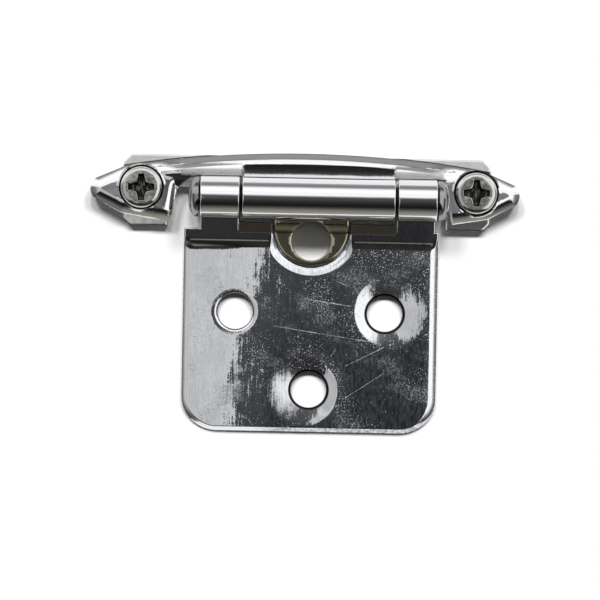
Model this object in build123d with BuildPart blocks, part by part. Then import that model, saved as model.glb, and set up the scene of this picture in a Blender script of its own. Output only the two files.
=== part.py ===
import os
from math import asin, atan2, cos, degrees, hypot, radians, sin, sqrt, tan

from build123d import *

os.makedirs("parts", exist_ok=True)

# A self-closing cabinet hinge with three knuckles, closed and lying on its back, in millimetres.
# X runs along the pin, Y runs from the door leaf to the frame wing, Z points away from the cabinet.
# The origin is on the back of the base plate, below the pin and in line with the middle of the leaf.

# Pin and barrel
pin_radius = 2.2
pin_clearance = 0.05
pin_flat_depth = 0.4
barrel_offset = 1.0
middle_knuckle_length = 24.9
knuckle_gap = 0.5
knuckle_end_chamfer = 0.25
head_radius = 3.3
head_rim = 0.4
head_height = 2.0

# Base plate
base_sheet = 1.2
base_offset = -0.6
base_half_length = 30.0
base_top_y = 7.0
base_bottom_y = -4.7
base_corner = 1.2
base_edge_radius = 0.3
pad_length = 7.2
strip_clearance = 0.35
strap_width = 12.2
tongue_y = -4.7
tongue_hole_radius = 3.2
tongue_hole_y = -6.8
bead_height = 0.9
bead_top_width = 1.2
bead_ramp = 1.3
bead_y = -3.5

# Frame wing
wing_sheet = 1.2
wing_offset = -0.6
wing_half_length = 35.2
wing_height = 2.0
wing_rim = 0.8
wing_taper = 50.0
wing_bevel = 0.37
wing_bevel_taper = 65.0
wing_wall = 1.0
wing_crown_y = 7.5
wing_shoulder_setback = 5.9
wing_shoulder_y = 5.05
wing_tip_upper_setback = 0.9
wing_tip_upper_y = 2.9
wing_tip_y = 1.15
wing_tip_lower_setback = 0.6
wing_tip_lower_y = -0.35
wing_ear_setback = 5.2
wing_ear_y = -2.8
wing_corner_setback = 12.5
wing_corner_y = -4.0
wing_curl_end = 235.0
barrel_seat = 0.05
bar_clearance = 1.2
flange_overlap = 0.4
ear_clearance = 0.3
ear_flare = 0.7
ear_web = 0.4

# Wing screws
screw_end_distance = 2.55
screw_y = 1.45
screw_head_radius = 3.43
screw_head_height = 2.0
screw_head_side = 0.7
screw_top_radius = 2.2
screw_radius = 1.75
screw_thread_clearance = 0.03
screw_hole_clearance = 0.25
screw_pocket_clearance = 0.17
screw_pocket_wall = 0.25
screw_end_gap = 0.05
pocket_floor = 0.8
cross_length = 4.4
cross_width = 1.2
cross_heart = 1.9
cross_depth = 1.5
cross_taper = 12.0

# Door leaf
leaf_sheet = 1.2
leaf_half_width = 20.9
leaf_bottom_y = -38.2
leaf_corner_radius = 5.8
leaf_bend_y = -7.6
leaf_bend_radius = 3.0
leaf_shoulder_y = -5.0
leaf_curl_end = 220.0
leaf_edge_radius = 0.6
notch_clearance = 0.3
notch_edge_radius = 0.6
door_hole_radius = 2.9
door_hole_edge = 0.45
door_hole_spacing = 24.6
door_hole_upper_y = -18.6
door_hole_lower_y = -31.3
dish_width = 2.8
dish_depth = 0.22

# Closing spring
spring_sheet = 0.45
spring_width = 2.2
spring_half_span = 5.3
spring_gap = 0.03

# Sizes that follow
bore_radius = pin_radius + pin_clearance
leaf_barrel_radius = bore_radius + leaf_sheet
wing_barrel_radius = bore_radius + wing_sheet
axis_height = base_sheet + barrel_seat + wing_barrel_radius
middle_end = middle_knuckle_length / 2
wing_top = base_sheet + wing_height
bar_inner_y = leaf_barrel_radius + bar_clearance
pocket_radius = screw_head_radius + screw_pocket_clearance
cup_radius = pocket_radius + screw_pocket_wall
pocket_floor_z = base_sheet + pocket_floor
screw_reach = base_half_length - screw_end_distance
screw_places = [base_offset - screw_reach, base_offset + screw_reach]
pin_flat_z = axis_height - pin_radius + pin_flat_depth
door_holes = [
    (-door_hole_spacing / 2, door_hole_upper_y),
    (door_hole_spacing / 2, door_hole_upper_y),
    (0, door_hole_lower_y),
]
pin_axis = Axis((barrel_offset, 0, axis_height), (1, 0, 0))

# The ears end just inside the screws, and the outer knuckles fill the room from there to the middle one
ear_inner_x = screw_reach - abs(base_offset) - cup_radius - ear_web
outer_start = middle_end + knuckle_gap
outer_end = ear_inner_x - ear_clearance - head_height - abs(barrel_offset)
outer_knuckle_length = outer_end - outer_start
knuckle_centre = (outer_start + outer_end) / 2


def around_axis(radius, angle):
    """A point in the YZ section, at an angle from +Y towards +Z about the pin."""
    return (radius * cos(radians(angle)), axis_height + radius * sin(radians(angle)))


# Base plate: two pads joined by a top strip, and a strap that runs under the barrel to the tongue
pad_centre_x = base_half_length - pad_length / 2
pad_height = base_top_y - base_bottom_y
strip_radius = leaf_barrel_radius + strip_clearance
strip_height = base_top_y - sqrt(strip_radius**2 - (axis_height - base_sheet) ** 2)
tongue_radius = strap_width / 2
bead_width = bead_top_width + 2 * bead_ramp
bead_angle = degrees(atan2(bead_height, bead_ramp))
with BuildPart() as base_plate:
    with BuildSketch(Plane((base_offset, 0, 0))) as base_pads:
        with Locations(
            (-pad_centre_x, base_top_y - pad_height / 2),
            (pad_centre_x, base_top_y - pad_height / 2),
        ):
            Rectangle(pad_length, pad_height)
        with Locations((0, base_top_y - strip_height / 2)):
            Rectangle(2 * base_half_length, strip_height)
        chamfer(base_pads.vertices().group_by(Axis.X)[0], base_corner)
        chamfer(base_pads.vertices().group_by(Axis.X)[-1], base_corner)
    extrude(amount=base_sheet)
    fillet(base_plate.faces().sort_by(Axis.Z)[-1].edges(), base_edge_radius)
    with BuildSketch():
        with BuildLine():
            tongue_end = CenterArc((0, tongue_y), tongue_radius, 180, 180)
            Polyline(
                tongue_end @ 1,
                (tongue_radius, base_top_y - strip_height / 2),
                (-tongue_radius, base_top_y - strip_height / 2),
                tongue_end @ 0,
            )
        make_face()
    extrude(amount=base_sheet)
    with BuildSketch(Plane.YZ.offset(-strap_width / 2)):
        with Locations((bead_y, base_sheet)):
            Trapezoid(
                bead_width,
                bead_height,
                bead_angle,
                align=(Align.CENTER, Align.MIN),
            )
    extrude(amount=strap_width)
    with BuildSketch(Plane.YZ.offset(-strap_width / 2)):
        with Locations((bead_y, 0)):
            Trapezoid(
                bead_width - 2 * base_sheet * tan(radians(bead_angle / 2)),
                bead_height,
                bead_angle,
                align=(Align.CENTER, Align.MIN),
            )
    extrude(amount=strap_width, mode=Mode.SUBTRACT)
    with Locations((0, tongue_hole_y, base_sheet)):
        Hole(tongue_hole_radius)
    with Locations(*[(x, screw_y, base_sheet) for x in screw_places]):
        Hole(screw_radius + screw_thread_clearance)
base_plate.part.label = "base_plate"
export_step(base_plate.part, "parts/base_plate.step")


# Frame wing: a pressed shell with tapered sides, cut away for the barrel, and the middle knuckle
shoulder_x = wing_half_length - wing_shoulder_setback
with BuildSketch() as wing_outline:
    with BuildLine():
        lower_edge = Polyline(
            (0, wing_corner_y),
            (wing_half_length - wing_corner_setback, wing_corner_y),
            (wing_half_length - wing_ear_setback, wing_ear_y),
            (wing_half_length - wing_tip_lower_setback, wing_tip_lower_y),
        )
        tip = ThreePointArc(
            lower_edge @ 1,
            (wing_half_length, wing_tip_y),
            (wing_half_length - wing_tip_upper_setback, wing_tip_upper_y),
        )
        Line(tip @ 1, (shoulder_x, wing_shoulder_y))
        mirror(about=Plane.YZ)
        ThreePointArc((shoulder_x, wing_shoulder_y), (0, wing_crown_y), (-shoulder_x, wing_shoulder_y))
    make_face()

flange_bottom = wing_top - wing_wall
curl_start = degrees(asin((flange_bottom - axis_height) / wing_barrel_radius))
curl_middle = (curl_start + wing_curl_end) / 2
flange_start_y = wing_barrel_radius * cos(radians(curl_start))
with BuildPart() as middle_knuckle:
    with BuildSketch(Plane.YZ):
        with BuildLine():
            curl = ThreePointArc(
                around_axis(wing_barrel_radius, curl_start),
                around_axis(wing_barrel_radius, curl_middle),
                around_axis(wing_barrel_radius, wing_curl_end),
            )
            curl_end = Line(curl @ 1, around_axis(bore_radius, wing_curl_end))
            bore = ThreePointArc(
                curl_end @ 1,
                around_axis(bore_radius, curl_middle),
                around_axis(bore_radius, curl_start),
            )
            Line(bore @ 1, curl @ 0)
        make_face()
    extrude(amount=middle_end, both=True)
    middle_rims = middle_knuckle.edges().filter_by(GeomType.CIRCLE).group_by(SortBy.RADIUS)[-1]
    chamfer(middle_rims, knuckle_end_chamfer)
    with Locations((0, flange_start_y, flange_bottom)):
        Box(
            middle_knuckle_length,
            bar_inner_y + flange_overlap - flange_start_y,
            wing_wall,
            align=(Align.CENTER, Align.MIN, Align.MIN),
        )

with BuildPart() as frame_wing:
    with BuildSketch(Plane((wing_offset, 0, base_sheet))):
        add(wing_outline.sketch)
    extrude(amount=wing_rim)
    with BuildSketch(Plane((wing_offset, 0, base_sheet + wing_rim))):
        add(wing_outline.sketch)
    extrude(amount=wing_height - wing_rim - wing_bevel, taper=wing_taper)
    extrude(frame_wing.faces().sort_by(Axis.Z)[-1], amount=wing_bevel, taper=wing_bevel_taper)
    with BuildSketch(Plane((wing_offset, 0, base_sheet))):
        add(wing_outline.sketch)
        offset(amount=-wing_wall, mode=Mode.REPLACE)
    extrude(amount=wing_height - wing_wall, taper=wing_taper, mode=Mode.SUBTRACT)
    with Locations(*[(x, screw_y, base_sheet) for x in screw_places]):
        Cylinder(cup_radius, wing_height, align=(Align.CENTER, Align.CENTER, Align.MIN))
    with Locations(*[(x, screw_y, pocket_floor_z) for x in screw_places]):
        Cylinder(
            pocket_radius,
            wing_height,
            align=(Align.CENTER, Align.CENTER, Align.MIN),
            mode=Mode.SUBTRACT,
        )
        Hole(screw_radius + screw_hole_clearance)
    with BuildSketch(Plane.XY.offset(base_sheet)):
        with BuildLine():
            Polyline(
                (0, wing_corner_y),
                (ear_inner_x + ear_flare, wing_corner_y),
                (ear_inner_x, bar_inner_y / 2),
                (ear_inner_x - ear_flare, bar_inner_y),
                (0, bar_inner_y),
            )
            mirror(about=Plane.YZ)
        make_face()
    extrude(amount=wing_height, mode=Mode.SUBTRACT)
    with Locations((barrel_offset, 0, 0)):
        add(middle_knuckle.part)
frame_wing.part.label = "frame_wing"
export_step(frame_wing.part, "parts/frame_wing.step")


# Door leaf: flat plate with a rounded rim, a neck that rises to the barrel, and two curled knuckles
leaf_distance = hypot(leaf_bend_y, axis_height)
neck_angle = degrees(atan2(axis_height, -leaf_bend_y) - asin(leaf_barrel_radius / leaf_distance))
plate_end_y = leaf_bend_y - (leaf_bend_radius + leaf_sheet) * tan(radians(neck_angle / 2))
leaf_curl_start = neck_angle - 90
leaf_curl_middle = (leaf_curl_start + leaf_curl_end) / 2
notch_radius = tongue_radius + notch_clearance
with BuildSketch(Plane.YZ) as curled_section:
    with BuildLine():
        lower_bend = JernArc((plate_end_y, 0), (1, 0), leaf_bend_radius + leaf_sheet, neck_angle)
        upper_bend = JernArc((plate_end_y, leaf_sheet), (1, 0), leaf_bend_radius, neck_angle)
        neck = Line(lower_bend @ 1, around_axis(leaf_barrel_radius, leaf_curl_start))
        leaf_curl = ThreePointArc(
            neck @ 1,
            around_axis(leaf_barrel_radius, leaf_curl_middle),
            around_axis(leaf_barrel_radius, leaf_curl_end),
        )
        leaf_end = Line(leaf_curl @ 1, around_axis(bore_radius, leaf_curl_end))
        leaf_bore = ThreePointArc(
            leaf_end @ 1,
            around_axis(bore_radius, leaf_curl_middle),
            around_axis(bore_radius, leaf_curl_start),
        )
        Line(leaf_bore @ 1, upper_bend @ 1)
        Line(lower_bend @ 0, upper_bend @ 0)
    make_face()

with BuildPart() as outer_knuckle:
    extrude(curled_section.sketch, amount=outer_knuckle_length / 2, both=True)
    knuckle_rims = outer_knuckle.edges().filter_by(GeomType.CIRCLE).filter_by(
        lambda edge: abs(edge.radius - leaf_barrel_radius) < pin_clearance
    )
    chamfer(knuckle_rims, knuckle_end_chamfer)

with BuildPart() as door_leaf:
    with BuildSketch() as leaf_plate:
        with Locations((0, leaf_bottom_y)):
            Rectangle(
                2 * leaf_half_width,
                plate_end_y - leaf_bottom_y,
                align=(Align.CENTER, Align.MIN),
            )
        fillet(leaf_plate.vertices().group_by(Axis.Y)[0], leaf_corner_radius)
    extrude(amount=leaf_sheet)
    fillet(door_leaf.faces().sort_by(Axis.Z)[-1].edges().sort_by(Axis.Y)[:-1], leaf_edge_radius)
    extrude(curled_section.sketch, amount=leaf_half_width, both=True)
    with Locations((0, leaf_shoulder_y, 0)):
        Box(
            2 * leaf_half_width,
            4 * leaf_barrel_radius,
            4 * leaf_barrel_radius,
            align=(Align.CENTER, Align.MIN, Align.MIN),
            mode=Mode.SUBTRACT,
        )
    with Locations((barrel_offset - knuckle_centre, 0, 0), (barrel_offset + knuckle_centre, 0, 0)):
        add(outer_knuckle.part)
    with BuildSketch(Plane((0, tongue_y, 0))):
        Circle(notch_radius)
    extrude(amount=axis_height, mode=Mode.SUBTRACT)
    plate_top = door_leaf.faces().filter_by(Axis.Z).sort_by(Axis.Z)[-1]
    notch_bottom_y = tongue_y - notch_radius
    fillet(plate_top.edges().filter_by_position(Axis.Y, notch_bottom_y, plate_end_y), notch_edge_radius)
    for x, y in door_holes:
        with BuildSketch(Plane((x, y, leaf_sheet), x_dir=(1, 0, 0), z_dir=(0, -1, 0))):
            with BuildLine():
                dish_edge = door_hole_radius + door_hole_edge
                dish_curve = TangentArc(
                    (dish_edge + dish_width, 0), (dish_edge, -dish_depth), tangent=(-1, 0)
                )
                Polyline(
                    dish_curve @ 1,
                    (door_hole_radius, -dish_depth - door_hole_edge),
                    (0, -dish_depth - door_hole_edge),
                    (0, 0),
                    dish_curve @ 0,
                )
            make_face()
        revolve(axis=Axis((x, y, 0), (0, 0, 1)), mode=Mode.SUBTRACT)
    with Locations(*[(x, y, leaf_sheet) for x, y in door_holes]):
        Hole(door_hole_radius)
door_leaf.part.label = "door_leaf"
export_step(door_leaf.part, "parts/door_leaf.step")


# Hinge pin: domed heads at both ends and a flat that faces the spring when the hinge is closed
with BuildPart() as hinge_pin:
    with BuildSketch(Plane((barrel_offset, 0, axis_height), x_dir=(1, 0, 0), z_dir=(0, -1, 0))):
        with BuildLine():
            stem = Polyline((0, pin_radius), (outer_end, pin_radius), (outer_end, head_radius))
            rim = Line(stem @ 1, (outer_end + head_rim, head_radius))
            dome = TangentArc((outer_end + head_height, 0), rim @ 1, tangent=(0, 1))
            Line((0, 0), dome @ 0)
            mirror(about=Plane.YZ)
        make_face()
    revolve(axis=pin_axis)
    with Locations((barrel_offset, 0, pin_flat_z)):
        Box(
            middle_knuckle_length,
            2 * pin_radius,
            2 * pin_radius,
            align=(Align.CENTER, Align.CENTER, Align.MAX),
            mode=Mode.SUBTRACT,
        )
hinge_pin.part.label = "hinge_pin"
export_step(hinge_pin.part, "parts/hinge_pin.step")


# Closing spring: a bowed strip that stands on the strap and presses on the pin's flat from below
spring_foot_z = base_sheet + spring_gap
spring_crown_z = pin_flat_z - spring_gap - spring_sheet
with BuildPart() as closing_spring:
    with BuildSketch(Plane.XZ):
        with BuildLine():
            ThreePointArc(
                (-spring_half_span, spring_foot_z),
                (0, spring_crown_z),
                (spring_half_span, spring_foot_z),
            )
            offset(amount=spring_sheet, side=Side.LEFT)
        make_face()
    extrude(amount=spring_width / 2, both=True)
closing_spring.part.label = "closing_spring"
export_step(closing_spring.part, "parts/closing_spring.step")


# Wing screws: pan heads with a cross recess
for name, x in zip(("wing_screw_left", "wing_screw_right"), screw_places):
    with BuildPart() as wing_screw:
        with BuildSketch(Plane((x, screw_y, pocket_floor_z), x_dir=(1, 0, 0), z_dir=(0, -1, 0))):
            with BuildLine():
                side = Polyline(
                    (0, screw_end_gap - pocket_floor_z),
                    (screw_radius, screw_end_gap - pocket_floor_z),
                    (screw_radius, 0),
                    (screw_head_radius, 0),
                    (screw_head_radius, screw_head_side),
                )
                crown_edge = Bezier(
                    side @ 1,
                    (screw_head_radius, screw_head_height),
                    (screw_top_radius, screw_head_height),
                )
                Polyline(crown_edge @ 1, (0, screw_head_height), side @ 0)
            make_face()
        revolve(axis=Axis((x, screw_y, 0), (0, 0, 1)))
        with BuildSketch(Plane((x, screw_y, pocket_floor_z + screw_head_height))):
            Rectangle(cross_length, cross_width)
            Rectangle(cross_width, cross_length)
            Rectangle(cross_heart, cross_heart, rotation=45)
        extrude(amount=-cross_depth, taper=cross_taper, mode=Mode.SUBTRACT)
    wing_screw.part.label = name
    export_step(wing_screw.part, "parts/" + name + ".step")
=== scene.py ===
from functools import partial, reduce
from math import asin, atan2, cos, degrees, hypot, pi, radians, sin, sqrt, tan

import bmesh
import bpy
import numpy as np
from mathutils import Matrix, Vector
from mathutils.geometry import delaunay_2d_cdt


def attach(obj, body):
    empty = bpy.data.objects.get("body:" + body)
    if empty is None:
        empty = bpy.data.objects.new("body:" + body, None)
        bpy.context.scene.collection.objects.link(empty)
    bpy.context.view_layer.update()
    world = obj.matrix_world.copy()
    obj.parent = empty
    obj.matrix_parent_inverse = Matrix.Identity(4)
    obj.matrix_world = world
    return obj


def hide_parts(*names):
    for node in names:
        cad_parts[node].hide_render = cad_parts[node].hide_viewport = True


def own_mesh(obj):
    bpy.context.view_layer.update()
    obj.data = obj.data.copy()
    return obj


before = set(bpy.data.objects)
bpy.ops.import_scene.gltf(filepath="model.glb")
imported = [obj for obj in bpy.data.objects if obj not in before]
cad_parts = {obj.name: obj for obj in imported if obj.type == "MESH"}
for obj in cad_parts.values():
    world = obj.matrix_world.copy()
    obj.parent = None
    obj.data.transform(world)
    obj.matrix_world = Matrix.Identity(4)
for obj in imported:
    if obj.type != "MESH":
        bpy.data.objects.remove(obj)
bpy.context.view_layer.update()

mm = 0.001
scene = bpy.context.scene
print("frame loaded")


def unit(vectors):
    return vectors / np.linalg.norm(vectors, axis=-1, keepdims=True)


# Smooth step from 0 to 1 as t goes from 0 to 1
def ease(t):
    t = np.clip(t, 0, 1)
    return t * t * (3 - 2 * t)


# Closed outline through the corners, each rounded by its radius, with the runs divided into steps
def roundedOutline(corners, radii, step, turn=9):
    corners = np.asarray(corners, float)
    radii = np.asarray(radii, float)
    ahead = unit(np.roll(corners, -1, axis=0) - corners)
    behind = np.roll(ahead, 1, axis=0)
    bend = np.arctan2(
        behind[:, 0] * ahead[:, 1] - behind[:, 1] * ahead[:, 0], (behind * ahead).sum(1)
    )
    reach = (radii * np.tan(np.abs(bend) / 2))[:, None]
    starts, ends = corners - behind * reach, corners + ahead * reach
    pieces = []
    for i in range(len(corners)):
        across = np.sign(bend[i]) * np.array((-behind[i, 1], behind[i, 0]))
        angle = np.arctan2(-across[1], -across[0]) + bend[i] * np.linspace(0, 1, turn)
        pieces.append(starts[i] + radii[i] * (across + np.column_stack((np.cos(angle), np.sin(angle)))))
        run = starts[(i + 1) % len(corners)] - ends[i]
        count = max(1, int(np.ceil(np.hypot(*run) / step)))
        pieces.append(ends[i] + run * (np.arange(1, count) / count)[:, None])
    return np.vstack(pieces)


# Outline that runs anticlockwise, moved inwards by a distance along the bisector at each point
def insetOutline(outline, distance):
    ahead = unit(np.roll(outline, -1, axis=0) - outline)
    behind = np.roll(ahead, 1, axis=0)
    left = np.column_stack((-ahead[:, 1], ahead[:, 0]))
    last = np.column_stack((-behind[:, 1], behind[:, 0]))
    share = 1 + (left * last).sum(1, keepdims=True)
    return outline + np.broadcast_to(distance, len(outline))[:, None] * (left + last) / share


# Points round a centre, from one angle to another in degrees
def arc(centre, radius, start, end, count):
    angle = np.radians(np.linspace(start, end, count))
    return np.column_stack((centre[0] + radius * np.cos(angle), centre[1] + radius * np.sin(angle)))


def circle(centre, radius, count=96):
    return arc(centre, radius, 0, 360, count + 1)[:-1]


# Closed outline with its long runs divided into steps
def divideRuns(outline, step):
    pieces = []
    for first, last in zip(outline, np.roll(outline, -1, axis=0)):
        count = max(1, int(np.ceil(np.hypot(*(last - first)) / step)))
        pieces.append(first + (last - first) * (np.arange(count) / count)[:, None])
    return np.vstack(pieces)


# Rolled edge as (inset, drop) pairs: an arc that leaves the flat and stands at the steepest angle at the edge
def rolledRim(width, steepest, count=8):
    reach = sin(radians(steepest))
    share = np.linspace(0, 1, count)
    return [(width * s, width / reach * (1 - sqrt(1 - ((1 - s) * reach) ** 2))) for s in share]


# Quads of a grid of points, closed round its columns
def ringFaces(rows, columns):
    index = np.arange(rows * columns).reshape(rows, columns)
    index = np.hstack((index, index[:, :1]))
    return np.stack((index[:-1, :-1], index[:-1, 1:], index[1:, 1:], index[1:, :-1]), -1).reshape(-1, 4)


def ringPart(rows):
    points = np.stack(rows)
    return points.reshape(-1, 3), ringFaces(*points.shape[:2]).tolist()


# Flat points raised to a height
def level(flat, height):
    return np.column_stack((flat, np.broadcast_to(height, len(flat))))


# Pairs of neighbours round each closed loop, counted over all of them
def loopEdges(loops):
    starts = np.cumsum([0] + [len(loop) for loop in loops[:-1]])
    return np.vstack([
        start + np.column_stack((np.arange(len(loop)), (np.arange(len(loop)) + 1) % len(loop)))
        for start, loop in zip(starts, loops)
    ])


# Triangles over points and edges, as a flat mesh
def flatTriangles(points, edges):
    found = delaunay_2d_cdt([Vector(p) for p in points], edges.tolist(), [], 0, 1e-5)
    return np.array([tuple(p) for p in found[0]]), np.array(found[2])


# True inside a closed outline: a line to the right crosses it an odd number of times
def insideOutline(points, outline):
    x, y = points[:, :1], points[:, 1:]
    ax, ay = outline.T
    bx, by = np.roll(outline, -1, axis=0).T
    crosses = (ay > y) != (by > y)
    with np.errstate(divide="ignore", invalid="ignore"):
        hit = x < ax + (y - ay) / (by - ay) * (bx - ax)
    return (crosses & hit).sum(1) % 2 == 1


# Triangles inside the first loop and outside the others, with extra points between them
def fillLoops(loops, inside):
    flat, triangles = flatTriangles(np.vstack([*loops, inside]), loopEdges(loops))
    centre = flat[triangles].mean(1)
    kept = insideOutline(centre, loops[0])
    for loop in loops[1:]:
        kept &= ~insideOutline(centre, loop)
    return flat, triangles[kept]


# Grid points of a box that keep clear of the loops
def insidePoints(lower, upper, step, loops, clear, lines=()):
    x, y = np.meshgrid(np.arange(lower[0], upper[0], step), np.arange(lower[1], upper[1], step))
    points = np.column_stack((x.ravel(), y.ravel()))
    if len(lines):
        points = points[np.abs(points[:, 1:] - np.array(lines)).min(1) > 0.4 * step]
        points = np.vstack((points, [(x, y) for y in lines for x in np.arange(lower[0], upper[0], step)]))
    blocks = np.array_split(np.vstack(loops), 8)
    near = np.min([np.linalg.norm(points[:, None] - block, axis=2).min(1) for block in blocks], 0)
    return points[near > clear]


# A flat sheet: its rim is a list of (inset, drop) from the edge inwards,
# and each hole a list of rings (centre, radius, height)
# Lines are heights in Y along which extra points keep the shape crisp
def sheetParts(outline, rim, thickness, holes, step, lines=()):
    rows = [level(outline, 0)]
    rows += [level(insetOutline(outline, inset), thickness - drop) for inset, drop in rim]
    rows.append(level(insetOutline(outline, rim[-1][0] + 0.1), thickness))
    parts = [ringPart(rows)]
    tops, bottoms = [rows[-1][:, :2]], [outline]
    for hole in holes:
        rings = [level(circle(centre, r), h) for centre, r, h in hole]
        parts.append(ringPart(rings))
        tops.append(rings[0][:, :2])
        bottoms.append(rings[-1][:, :2])
    for loops, height in ((tops, thickness), (bottoms, 0)):
        inside = insidePoints(outline.min(0), outline.max(0), step, loops, 0.35 * step, lines)
        flat, triangles = fillLoops(loops, inside)
        parts.append((level(flat, height), triangles.tolist()))
    return parts


# A closed section in the YZ plane carried along X, with both ends rounded
def sweptParts(section, start, end, rounding):
    angle = np.radians(np.linspace(90, 0, 7))
    run = np.linspace(start + 1.3 * rounding, end - 1.3 * rounding, 5)
    places = np.concatenate((
        start + rounding * (1 - np.sin(angle)), run, end - rounding * (1 - np.sin(angle[::-1]))
    ))
    insets = rounding * (1 - np.cos(np.concatenate((angle, 0 * run, angle[::-1]))))
    rows = [
        np.column_stack((np.full(len(section), x), insetOutline(section, inset)))
        for x, inset in zip(places, insets)
    ]
    points, faces = ringPart(rows)
    last = len(points) - len(section)
    faces += [list(range(len(section))), list(range(last, len(points)))]
    return [(points, faces)]


# A profile of (distance along X, radius) turned round an axis along X
def turnedPart(profile, axisHeight, count=96):
    angle = 2 * pi * np.arange(count) / count
    rows = [
        np.column_stack((np.full(count, x), r * np.cos(angle), axisHeight + r * np.sin(angle)))
        for x, r in profile
    ]
    return ringPart(rows)


# One closed mesh from its parts, joined where their points meet, with soft edges below the given angle
# Faces above the given height take the upper material
def makePiece(name, node, body, material, parts, upper=None, above=0.0, crease=30):
    starts = np.cumsum([0] + [len(points) for points, _ in parts[:-1]])
    faces = [[i + int(start) for i in face] for start, (_, group) in zip(starts, parts) for face in group]
    mesh = bpy.data.meshes.new(name)
    mesh.from_pydata((np.vstack([points for points, _ in parts]) * mm).tolist(), [], faces)
    work = bmesh.new()
    work.from_mesh(mesh)
    bmesh.ops.remove_doubles(work, verts=work.verts, dist=2e-6)
    bmesh.ops.dissolve_degenerate(work, edges=work.edges, dist=1e-6)
    bmesh.ops.delete(work, geom=[v for v in work.verts if not v.link_faces], context="VERTS")
    bmesh.ops.recalc_face_normals(work, faces=work.faces)
    work.to_mesh(mesh)
    work.free()
    mesh.shade_smooth()
    mesh.set_sharp_from_angle(angle=radians(crease))
    mesh.materials.append(material)
    if upper:
        mesh.materials.append(upper)
        isUpper = [int(face.center.z > above * mm) for face in mesh.polygons]
        mesh.polygons.foreach_set("material_index", isUpper)
    piece = bpy.data.objects.new(name, mesh)
    bpy.context.collection.objects.link(piece)
    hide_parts(node)
    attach(piece, body)
    print("made", name, len(mesh.polygons))
    return piece


# sRGB hex to linear colour
def hexColour(code):
    channels = np.array([int(code[i:i + 2], 16) for i in (1, 3, 5)]) / 255
    linear = np.where(channels <= 0.04045, channels / 12.92, ((channels + 0.055) / 1.055) ** 2.4)
    return (*linear.tolist(), 1.0)


# Kinds of node that are used most, each with the setting that makes it what it is
times, minus, timesPlus = "Math MULTIPLY", "Math SUBTRACT", "Math MULTIPLY_ADD"
larger, absolute, root = "Math MAXIMUM", "Math ABSOLUTE", "Math SQRT"
fade, straight, blend = "MapRange SMOOTHSTEP", "MapRange LINEAR", "Mix RGBA"
kindSetting = {
    "Math": "operation", "VectorMath": "operation", "MapRange": "interpolation_type", "Mix": "data_type",
}


# One node with its inputs, in order or by name, and other settings by name
# An input that is a socket is linked
# It gives the first output in use, or the one that is asked for
def addNode(tree, words, *values, out=None, **named):
    kind, _, setting = words.partition(" ")
    node = tree.nodes.new("ShaderNode" + kind)
    if setting:
        setattr(node, kindSetting[kind], setting)
    pairs = list(zip([socket for socket in node.inputs if socket.enabled], values))
    for key, value in named.items():
        if hasattr(node, key):
            setattr(node, key, value)
        else:
            pairs.append((node.inputs[key.replace("_", " ")], value))
    for socket, value in pairs:
        if isinstance(value, bpy.types.NodeSocket):
            tree.links.new(value, socket)
        else:
            socket.default_value = value
    return node.outputs[out] if out else next((socket for socket in node.outputs if socket.enabled), None)


# An empty material, and the function that adds nodes to it
def newMaterial(name):
    material = bpy.data.materials.new(name)
    material.use_nodes = True
    material.node_tree.nodes.clear()
    return material, partial(addNode, material.node_tree)


# Object coordinates, as a vector and as x, y and z in millimetres
def objectPlace(add):
    place = add("TexCoord", out="Object")
    parts = add("SeparateXYZ", place).node.outputs
    return place, [add(times, part, 1000) for part in parts]


# Noise with its scale per millimetre along x, y and z
def grain(add, place, scale, detail=2.0, out=None):
    spread = add("Mapping", Vector=place, Scale=[s * 1000 for s in scale])
    return add("TexNoise", out=out, Vector=spread, Scale=1.0, Detail=detail)


# The normal leans by noise about a steady lean
# Each layer is (scale per millimetre along x, y and z, lean in radians)
def leaningNormal(add, place, layers, steady=(0, 0, 0)):
    normal = add("NewGeometry", out="Normal")
    turning = {"vector_type": "VECTOR", "convert_from": "OBJECT", "convert_to": "WORLD"}
    for scale, lean in layers:
        middle = [s / len(layers) - 2 * lean for s in steady]
        offset = add("VectorMath MULTIPLY_ADD", grain(add, place, scale, out="Color"), [4 * lean] * 3, middle)
        turned = add("VectorTransform", offset, **turning)
        normal = add("VectorMath ADD", normal, turned)
    return add("VectorMath NORMALIZE", normal)


def metal(add, colour, roughness, normal):
    shader = add("BsdfPrincipled", Metallic=1.0, Base_Color=colour, Roughness=roughness, Normal=normal)
    add("OutputMaterial", Surface=shader)


# What lies in all of several masks: their product
def product(add, *masks):
    return reduce(partial(add, times), masks)


# Distance from a point in a plane, in millimetres
def fromPoint(add, x, y, centre):
    dx, dy = add(minus, x, centre[0]), add(minus, y, centre[1])
    return add(root, add(timesPlus, dx, dx, add(times, dy, dy)))


# Distance from a line between two points in the XY plane, in millimetres
def fromLine(add, x, y, first, last):
    (ax, ay), (bx, by) = first, last
    length = hypot(bx - ax, by - ay)
    ux, uy = (bx - ax) / length, (by - ay) / length
    dx, dy = add(minus, x, ax), add(minus, y, ay)
    along = add(timesPlus, dx, ux, add(times, dy, uy))
    across = add(timesPlus, dx, -uy, add(times, dy, ux))
    past = add(larger, add(minus, along, length), add(times, along, -1))
    return add(larger, add(absolute, across), past)


# Barrel sizes that several pieces share
barrel = {
    "offset": 1.0, "axis": 4.7, "radius": 3.45, "bore": 2.25,
    "middleEnd": 12.45, "outerStart": 12.95, "outerEnd": 19.3,
}


# Distance along X from the middle of the barrel
def fromMiddle(add, x):
    return add(absolute, add(minus, x, barrel["offset"]))


# Points (y, z) round the axis of the pin, at angles in degrees
def roundAxis(radius, angles):
    angle = np.radians(angles)
    return np.column_stack((radius * np.cos(angle), barrel["axis"] + radius * np.sin(angle)))


# Straight steps joined by short curves: the mean of the steps over a small width
def softSteps(distance, places, heights, width=0.07):
    shifts = np.linspace(-width, width, 7)
    return np.mean([np.interp(distance + s, places, heights) for s in shifts], axis=0)


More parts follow.
